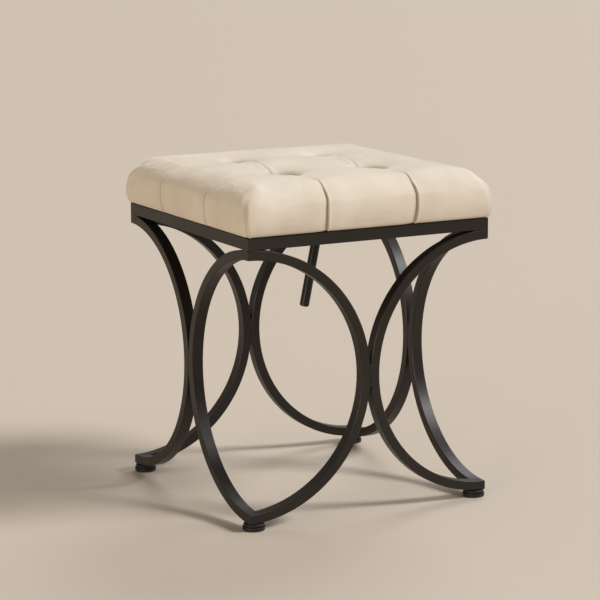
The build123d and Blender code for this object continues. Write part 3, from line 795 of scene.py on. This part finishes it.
@dataclass
class TuftedCushion:
    """Crowned square cushion, drawn in at four tufts and along pleats that run over its edges.

    A place on it is (a, b, v): plan place a, b of a flat square grid, and v, which is 0 on the top and
    runs to 1 down the sides.
    """

    base_z: float = 0.4279
    board_z: float = 0.4286
    half: float = 0.2039
    height: float = 0.0717
    plan_round_top: float = 0.0305
    plan_round_low: float = 0.0076
    edge_round: float = 0.0287
    edge_power: float = 1.45
    base_round: float = 0.003
    base_power: float = 2.0
    crown: float = 0.0046
    bulge: float = 0.0043
    bulge_reach: float = 1.15
    tuck: float = 0.002
    tuck_share: float = 0.22
    tuft_at: float = 0.073
    tuft_depth: float = 0.0177
    tuft_floor: float = 0.0088
    tuft_reach: float = 0.0115
    tuft_power: float = 1.35
    hollow_depth: float = 0.0066
    hollow_reach: float = 0.031
    pull_fade: Span = (0.17, 0.2)
    # painted shade inside the tufts: begins at shade_from times shade_depth of pull and goes no further than
    # shade_most
    shade_depth: float = 0.01
    shade_from: float = 0.55
    shade_most: float = 0.64
    pleat_reach: float = 0.045
    pleat_start: float = 0.012
    pleat_peaks: Span = (1.42, 1.62)
    settle: Span = (0.86, 1.0)
    lie_heights: Triple = (0.00016, 0.0001, 0.00025)
    line_samples: int = 8001
    fine_step: float = 0.00065
    coarse_step: float = 0.0027
    edge_step: float = 0.0024
    edge_zone: float = 0.03
    cluster: float = 0.0125
    cluster_shift: float = 0.003
    side_rows: int = 36
    base_shares: tuple[float, ...] = (0.95, 0.6, 0.25)
    fill: float = 0.8

    def lines(self) -> Array:
        """Gives grid lines across the cushion, closer together along the pleats and the edges."""
        x = np.linspace(-self.half, self.half, self.line_samples)
        near = np.minimum(*(np.abs(x + self.cluster_shift - side * self.tuft_at) for side in (-1, 1)))
        rim = self.half - np.abs(x)
        step = self.coarse_step - (self.coarse_step - self.edge_step) * bell(rim, self.edge_zone)
        step = step - (step - self.fine_step) * np.exp(-((near / self.cluster) ** 4))
        count = np.concatenate([[0.0], np.cumsum(0.5 * (1 / step[1:] + 1 / step[:-1]) * np.diff(x))])
        total = int(round(count[-1]))
        return np.interp(np.linspace(0.0, count[-1], total + 1), count, x)

    def form(self, a: Array, b: Array, v: Array) -> Array:
        """Lays grid places on the smooth, untufted cushion.

        Args:
            a: Plan places along X.
            b: Plan places along Y.
            v: Shares of the way down the sides.

        Returns:
            Array of points.
        """
        z0, h = self.base_z, self.height
        ease = v * v * (3.0 - 2.0 * v)
        rc = self.plan_round_top + (self.plan_round_low - self.plan_round_top) * ease
        p = np.stack([a, b, z0 + h * (1.0 - v)], 1)
        lim = self.half - rc
        inner = np.stack([
            np.clip(p[:, 0], -lim, lim),
            np.clip(p[:, 1], -lim, lim),
            np.clip(p[:, 2], z0 + self.base_round, z0 + h - self.edge_round),
        ], 1)
        upper = p[:, 2] > z0 + h / 2
        radius = np.stack([rc, rc, np.where(upper, self.edge_round, self.base_round)], 1)
        off = (p - inner) / radius
        outward = np.hypot(off[:, 0], off[:, 1])
        upward = np.abs(off[:, 2])
        power = np.where(upper, self.edge_power, self.base_power)
        length = np.maximum((outward ** power + upward ** power) ** (1.0 / power), 1e-9)[:, None]
        q = np.where(length > 1e-6, inner + off / length * radius, p)
        share = np.clip((q[:, 2] - z0) / h, 0.0, 1.0)
        ax, ay = np.abs(q[:, 0]) / self.half, np.abs(q[:, 1]) / self.half
        q[:, 2] += self.crown * (1 - ax ** 2) * (1 - ay ** 2) * share ** 2
        swell = 1.0 + self.bulge * np.sin(np.pi * np.clip(share * self.bulge_reach, 0.0, 1.0)) / self.half
        swell -= self.tuck * (1.0 - np.clip(share / self.tuck_share, 0.0, 1.0)) ** 2 / self.half
        q[:, :2] *= swell[:, None]
        return q

    def grid(self, line: Array, side_rows: int) -> CushionGrid:
        """Lays out the top and the sides.

        Args:
            line: Grid lines across the cushion, the same both ways.
            side_rows: Rows of faces down the sides.

        Returns:
            The grid.
        """
        n = len(line)
        top_a, top_b = (m.ravel() for m in np.meshgrid(line, line, indexing="ij"))
        number = np.arange(n * n).reshape(n, n)
        loop = np.concatenate([number[:-1, 0], number[-1, :-1], number[:0:-1, -1], number[0, :0:-1]])
        cells = (number[:-1, :-1], number[1:, :-1], number[1:, 1:], number[:-1, 1:])
        faces: list[Face] = list(zip(*(corner.ravel() for corner in cells)))
        rows = np.linspace(0.0, 1.0, side_rows + 1)[1:]
        around = len(loop)
        loops = [loop] + [n * n + k * around + np.arange(around) for k in range(side_rows)]
        for upper, lower in zip(loops, loops[1:]):
            faces += ring(upper, lower)
        return CushionGrid(
            a=np.concatenate([top_a] + [top_a[loop]] * side_rows),
            b=np.concatenate([top_b] + [top_b[loop]] * side_rows),
            v=np.concatenate([np.zeros(n * n)] + [np.full(around, row) for row in rows]),
            faces=faces,
            loops=loops,
        )

    @staticmethod
    def normals(points: Array, faces: list[Face]) -> Array:
        """Averages the quads' directions at each corner."""
        quads = np.asarray(faces)
        p0, p1, p2, p3 = (points[quads[:, k]] for k in range(4))
        across = np.cross(p2 - p0, p3 - p1)
        total = np.zeros_like(points)
        for k in range(4):
            np.add.at(total, quads[:, k], across)
        return total / np.maximum(np.linalg.norm(total, axis=1, keepdims=True), 1e-12)

    def pulled(self, a: Array, b: Array, v: Array) -> Array:
        """Gives how far the tufts pull the top down, faded out before the edges."""
        reach = np.hypot(np.abs(a) - self.tuft_at, np.abs(b) - self.tuft_at)
        past = np.maximum(reach - self.tuft_floor, 0.0) / self.tuft_reach
        tufts = self.tuft_depth / (1.0 + past ** 2) ** self.tuft_power
        tufts = tufts + self.hollow_depth * bell(reach, self.hollow_reach)
        fade = 1.0 - step_up(*self.pull_fade, np.maximum(np.abs(a), np.abs(b)))
        return np.where(v == 0, tufts, 0.0) * fade

    def relief(self, a: Array, b: Array, v: Array) -> tuple[Array, Array]:
        """Adds up the pleats and the creases between tufts.

        Returns:
            Outward relief in metres, and the share of shade painted into folds.
        """
        rise = np.zeros(len(a))
        # share of painted shade in pleats and creases
        fold = np.zeros(len(a))
        run = self.half - self.tuft_at
        for across, down, pleat in ((a, b, OpenPleat()), (b, a, Pleat())):
            for line in (-1, 1):
                off = across - line * self.tuft_at
                for side in (-1, 1):
                    outer = down * side
                    along = np.where(v > 0, 1.0 + v, np.clip((outer - self.tuft_at) / run, 0.0, 1.0))
                    here = (outer > self.tuft_at) & (np.abs(off) < self.pleat_reach)
                    up, dark = pleat.side(off, along, self.pleat_peaks[line * side > 0])
                    starts = step_up(self.tuft_at, self.tuft_at + self.pleat_start, outer)
                    if side > 0:
                        starts = starts * eased(along, *pleat.far_share)
                    rise += np.where(here, up * starts, 0.0)
                    fold = np.maximum(fold, np.where(here, dark * starts, 0.0))
                up, dark = pleat.inner(off, down / self.tuft_at)
                inside = (np.abs(down) < self.tuft_at) & (v == 0)
                rise += np.where(inside, up, 0.0)
                fold = np.maximum(fold, np.where(inside, dark, 0.0))
        return rise, fold

    def lie(self, a: Array, b: Array, v: Array) -> Array:
        """Gives the slight unevenness of fabric over wadding: long, short and side waves, in metres."""
        s = 2 * np.pi
        long_height, short_height, side_height = self.lie_heights
        long_waves = np.sin(s * (a / 0.083 + 0.6 * b / 0.11) + 0.8)
        long_waves = long_waves * np.sin(s * (b / 0.097 - 0.3 * a / 0.13) + 2.1)
        short_waves = np.sin(s * (a / 0.047 - b / 0.061) + 4.0) * np.sin(s * (b / 0.052 + a / 0.09) + 1.2)
        side_waves = np.sin(s * ((a - b) / 0.039 + v * 0.6) + 0.5) * (v > 0) * np.sin(np.pi * v)
        return long_height * long_waves + short_height * short_waves + side_height * side_waves

    def closed(self, points: Array, grid: CushionGrid) -> tuple[Array, list[Face]]:
        """Closes the cover under the board and gives all its corners and faces."""
        faces = list(grid.faces)
        rim = last = grid.loops[-1]
        parts = [points]
        count = len(points)
        for share in self.base_shares:
            inner = points[rim].copy()
            inner[:, :2] *= share
            inner[:, 2] = self.board_z
            fresh = count + np.arange(len(inner))
            faces += ring(last, fresh)
            parts.append(inner)
            count += len(inner)
            last = fresh
        parts.append(np.array([[0.0, 0.0, self.board_z]]))
        faces += zip(last, [count] * len(last), np.roll(last, -1))
        return np.concatenate(parts), faces

    def build(self) -> Piece:
        """Makes the cushion's mesh, with the attribute that tells the velvet where to paint shade into its
        colour: folds, tufts and corners.
        """
        grid = self.grid(self.lines(), self.side_rows)
        a, b, v = grid.a, grid.b, grid.v
        points = self.form(a, b, v)
        outward = self.normals(points, grid.faces)
        rise, fold = self.relief(a, b, v)
        corner_rise, corner_painted_shade = CornerFold().relief(self.half, a, b, v)
        lie = self.lie(a, b, v) * (1.0 - step_up(*self.settle, v))
        points = points + outward * (rise + corner_rise + lie)[:, None]
        pull = self.pulled(a, b, v)
        points[:, 2] -= pull
        swell = CoverSwell()
        swell.run(self)
        points = points + swell.at(a, b, v)
        points[:, 2] = np.maximum(points[:, 2], self.base_z)
        # painted shade inside each tuft, darker where the tufts pull the top further down
        tuft_painted_shade = np.clip(pull / self.shade_depth - self.shade_from, 0.0, self.shade_most)
        everything, faces = self.closed(points, grid)
        piece = mesh_piece("cushion", everything, faces)
        dark = np.zeros(len(everything))
        # painted shade of pleats, corner folds and tufts, whichever is darkest
        dark[: len(fold)] = np.maximum(np.maximum(fold, corner_painted_shade), tuft_painted_shade)
        layer = piece.data.attributes.new(CREAM_VELVET.painted_shade_attribute, "FLOAT", "POINT")
        layer.data.foreach_set("value", dark)
        return piece

    def dress(self, piece: Piece) -> None:
        """Upholsters the cushion and hands it to the frame."""
        paint_piece(piece, CREAM_VELVET)
        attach(piece, BODY)
        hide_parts("seat_cover", "foam_core")
        LOG.info("cushion: %d faces", len(piece.data.polygons))


@dataclass
class TuftButtons:
    """Four velvet-covered buttons at the bottom of the tufts."""

    radius: float = 0.0098
    crown: float = 0.0052
    turns: int = 28
    out_shares: tuple[float, ...] = (0.3, 0.6, 0.82, 0.95, 1.0, 0.96)
    up_shares: tuple[float, ...] = (0.97, 0.84, 0.6, 0.3, 0.08, 0.0)

    def build(self) -> Piece:
        """Turns one covered button and repeats it at the CAD buttons' places."""
        angle = 2 * math.pi * np.arange(self.turns) / self.turns
        loops = [np.array([[0.0, 0.0, self.crown]])]
        for out, up in zip(self.out_shares, self.up_shares):
            around = self.radius * out * np.stack([np.cos(angle), np.sin(angle)], 1)
            loops.append(np.column_stack([around, np.full(self.turns, self.crown * up)]))
        button = np.concatenate(loops)
        numbers = 1 + np.arange(len(button) - 1).reshape(-1, self.turns)
        pattern: list[Face] = list(zip([0] * self.turns, numbers[0], np.roll(numbers[0], -1)))
        for upper, lower in zip(numbers, numbers[1:]):
            pattern += ring(upper, lower)
        pattern.append(tuple(numbers[-1][::-1]))
        points: list[Array] = []
        faces: list[Face] = []
        for corner in CORNERS:
            low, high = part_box(f"tuft_button_{corner}")
            start = len(points) * len(button)
            points.append(button + ((low.x + high.x) / 2, (low.y + high.y) / 2, low.z))
            faces += [tuple(start + i for i in face) for face in pattern]
        return mesh_piece("tuft_buttons", np.concatenate(points), faces)

    def dress(self, piece: Piece) -> None:
        """Covers the buttons in the cushion's velvet."""
        paint_piece(piece, CREAM_VELVET)
        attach(piece, BODY)
        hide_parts(*(f"tuft_button_{corner}" for corner in CORNERS))
        LOG.info("tuft buttons: %d", len(CORNERS))


@dataclass
class SeatUnderside:
    """Seat board, dust cloth with its staples, and the fasteners under the cushion."""

    cloth_half: float = 0.19
    cloth_top: float = 0.4285
    cloth_thickness: float = 0.0005
    hole_radius: float = 0.026
    sag: float = 0.0012
    sag_edge: float = 0.93
    sag_start: float = 0.2
    ripple: float = 0.35
    ripple_turns: Span = (95.0, 81.0)
    ripple_starts: Span = (0.7, 1.9)
    spokes: int = 128
    rings: int = 26
    STAPLES = {
        "Sides": len(SIDES),
        "Staples": 9,
        "Spacing": 0.031,
        "Out": 0.1755,
        "Crown": 0.0095,
        "Wire": 0.0007,
        "Slant": 0.09,
        "Seed": 7,
    }

    def cloth(self) -> Piece:
        """Makes the dust cloth, stretched under the board with a round hole for the rod's flange."""
        low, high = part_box("rod_flange")
        hole = np.array([(low.x + high.x) / 2, (low.y + high.y) / 2])
        turn = 2 * np.pi * np.arange(self.spokes) / self.spokes
        ray = np.stack([np.cos(turn), np.sin(turn)], 1)
        slanted = np.abs(ray) > 1e-9
        to_edge = (np.sign(ray) * self.cloth_half - hole) / np.where(slanted, ray, 1.0)
        reach = np.min(np.where(slanted, to_edge, np.inf), axis=1)
        for corner in CORNERS.values():
            target = np.array(corner) * self.cloth_half - hole
            angle = math.atan2(target[1], target[0]) % (2 * math.pi)
            at = int(round(angle / (2 * math.pi) * self.spokes)) % self.spokes
            reach[at] = np.linalg.norm(target)
            ray[at] = target / reach[at]
        points = []
        for share in np.arange(self.rings + 1) / self.rings:
            plan = hole + ray * (self.hole_radius + (reach - self.hole_radius) * share)[:, None]
            edge = np.max(np.abs(plan), axis=1) / self.cloth_half
            slack = np.sin(np.pi * np.clip(edge / self.sag_edge, 0.0, 1.0)) ** 2
            slack = slack * step_up(0.0, self.sag_start, share)
            ripple = self.ripple * np.prod(np.sin(plan * self.ripple_turns + self.ripple_starts), axis=1)
            points.append(np.column_stack([plan, self.cloth_top - self.sag * slack * (1.0 + ripple)]))
        loops = np.arange(len(points) * self.spokes).reshape(-1, self.spokes)
        faces = [face for pair in zip(loops, loops[1:]) for face in ring(*pair)]
        piece = mesh_piece("dust_cloth", np.concatenate(points), faces)
        wall = piece.modifiers.new("thickness", "SOLIDIFY")
        wall.thickness = self.cloth_thickness
        wall.offset = -1.0
        return piece

    def staples(self) -> None:
        """Drives rows of staples through the cloth's edges."""
        piece = mesh_piece("cloth_staples", np.zeros((0, 3)), [])
        tree = RepeatTree("staple_rows", **self.STAPLES)
        given = tree.given
        length = tree.reckon("MULTIPLY", tree.reckon("SUBTRACT", given["Staples"], 1.0), given["Spacing"])
        start = tree.vector(
            X=tree.reckon("MULTIPLY", length, -0.5),
            Y=tree.reckon("MULTIPLY", given["Out"], -1.0),
            Z=self.cloth_top - self.cloth_thickness - self.STAPLES["Wire"] / 4,
        )
        row = tree.row(given["Staples"], Start_Location=start, Offset=tree.vector(X=given["Spacing"]))
        shape = tree.vector(X=given["Crown"], Y=given["Wire"], Z=given["Wire"])
        wire = tree.node("GeometryNodeMeshCube", {"Size": shape}).outputs["Mesh"]
        chance = tree.node("FunctionNodeRandomValue", {"Seed": given["Seed"]}, data_type="FLOAT")
        least, most = [socket for socket in chance.inputs if socket.type == "VALUE"][:2]
        tree.feed(least, tree.reckon("MULTIPLY", given["Slant"], -1.0))
        tree.feed(most, given["Slant"])
        slant = next(socket for socket in chance.outputs if socket.type == "VALUE")
        driven = tree.placed(row, wire, tree.vector(Z=slant))
        tree.convert(piece, tree.turned(driven, given["Sides"]), ZINC_PLATE)
        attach(piece, BODY)
        LOG.info("staples: %d", self.STAPLES["Staples"] * self.STAPLES["Sides"])

    def dress(self, cloth: Piece) -> None:
        """Finishes the cloth, the board and the fasteners."""
        paint_piece(cloth, DUST_CLOTH)
        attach(cloth, BODY)
        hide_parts("dust_cover")
        paint_nodes(["seat_board"], PLYWOOD)
        paint_nodes(["seat_screws", "seat_washers", "tee_nuts", "tuft_washers"], ZINC_PLATE)
        paint_nodes(["tuft_cords"], TWINE)
        LOG.info("underside: board, dust cloth and fasteners")


@dataclass(frozen=True)
class Daylight:
    """An even, soft-edged light over the whole floor: a sun that fills an angle of some degrees.

    Its place is where it comes from, seen from the stool, and its strength is in watts on a square metre.
    """

    name: str
    place: Triple
    spread: float
    strength: float
    colour: Colour

    def shine(self) -> None:
        """Adds the light to the scene."""
        light = bpy.data.lights.new(self.name, "SUN")
        light.angle = math.radians(self.spread)
        light.energy = self.strength
        light.color = self.colour
        holder = bpy.data.objects.new(self.name, light)
        holder.rotation_euler = (-Vector(self.place)).to_track_quat("-Z", "Y").to_euler()
        bpy.context.scene.collection.objects.link(holder)


@dataclass
class Studio:
    """Pale floor, soft light and the camera at the photograph's angle."""

    camera_place: Triple = (-1.64307, -3.03337, 0.95124)
    yaw: float = -28.301
    pitch: float = 10.877
    roll: float = -0.178
    lens: float = 137.83
    sensor_width: float = 36.0
    sight: float = 100.0
    floor_half: float = 40.0
    floor_colour: Colour = (0.6, 0.52, 0.43)
    floor_roughness: float = 0.65
    floor_specular: float = 0.25
    air_colour: Colour = (1.0, 0.93, 0.84)
    air_strength: float = 0.3
    lights: tuple[Daylight, ...] = (
        Daylight("key", (2.5, -1.7, 2.6), 17.0, 2.62, (0.98, 0.985, 1.0)),
        Daylight("back", (1.7, 1.5, 2.0), 30.0, 0.85, (0.97, 0.985, 1.0)),
        Daylight("fill", (-2.6, -1.2, 0.4), 22.0, 1.05, (1.0, 0.8, 0.58)),
    )

    def camera(self) -> None:
        """Places the camera and makes it the scene's own."""
        turns = ((self.yaw, "Z"), (90.0 - self.pitch, "X"), (self.roll, "Z"))
        turn, lift, tip = (Matrix.Rotation(math.radians(angle), 4, axis) for angle, axis in turns)
        lens = bpy.data.cameras.new("camera")
        lens.sensor_width = self.sensor_width
        lens.sensor_fit = "HORIZONTAL"
        lens.lens = self.lens
        lens.clip_end = self.sight
        stand = bpy.data.objects.new("camera", lens)
        stand.matrix_world = Matrix.Translation(self.camera_place) @ turn @ lift @ tip
        bpy.context.scene.collection.objects.link(stand)
        bpy.context.scene.camera = stand

    def floor(self) -> None:
        """Lays the floor and sets the air's light."""
        corners = np.array([(x, y, 0) for x, y in CORNERS.values()]) * self.floor_half
        floor = mesh_piece("floor", corners, [(0, 1, 2, 3)], smooth=False)
        shader = Shader("floor")
        shader.set(
            Base_Color=opaque(self.floor_colour),
            Roughness=self.floor_roughness,
            Specular_IOR_Level=self.floor_specular,
        )
        floor.data.materials.append(shader.material)
        world = bpy.data.worlds.new("air")
        world.use_nodes = True
        air = world.node_tree.nodes["Background"]
        air.inputs["Color"].default_value = opaque(self.air_colour)
        air.inputs["Strength"].default_value = self.air_strength
        bpy.context.scene.world = world

    def build(self) -> None:
        """Sets up the studio."""
        self.camera()
        self.floor()
        for light in self.lights:
            light.shine()
        bpy.context.scene.view_settings.view_transform = "Standard"
        LOG.info("studio: camera, floor and %d soft lights", len(self.lights))


def main() -> None:
    """Builds and dresses every sub-assembly in order."""
    logging.basicConfig(level=logging.INFO, format="%(name)s: %(message)s")
    steel = SteelFrame()
    steel.dress()
    steel.weld_fills()
    HangingRod().dress()
    LevellingFeet().dress()
    cushion = TuftedCushion()
    cushion.dress(cushion.build())
    buttons = TuftButtons()
    buttons.dress(buttons.build())
    underside = SeatUnderside()
    underside.dress(underside.cloth())
    underside.staples()
    Studio().build()


if __name__ == "__main__":
    main()
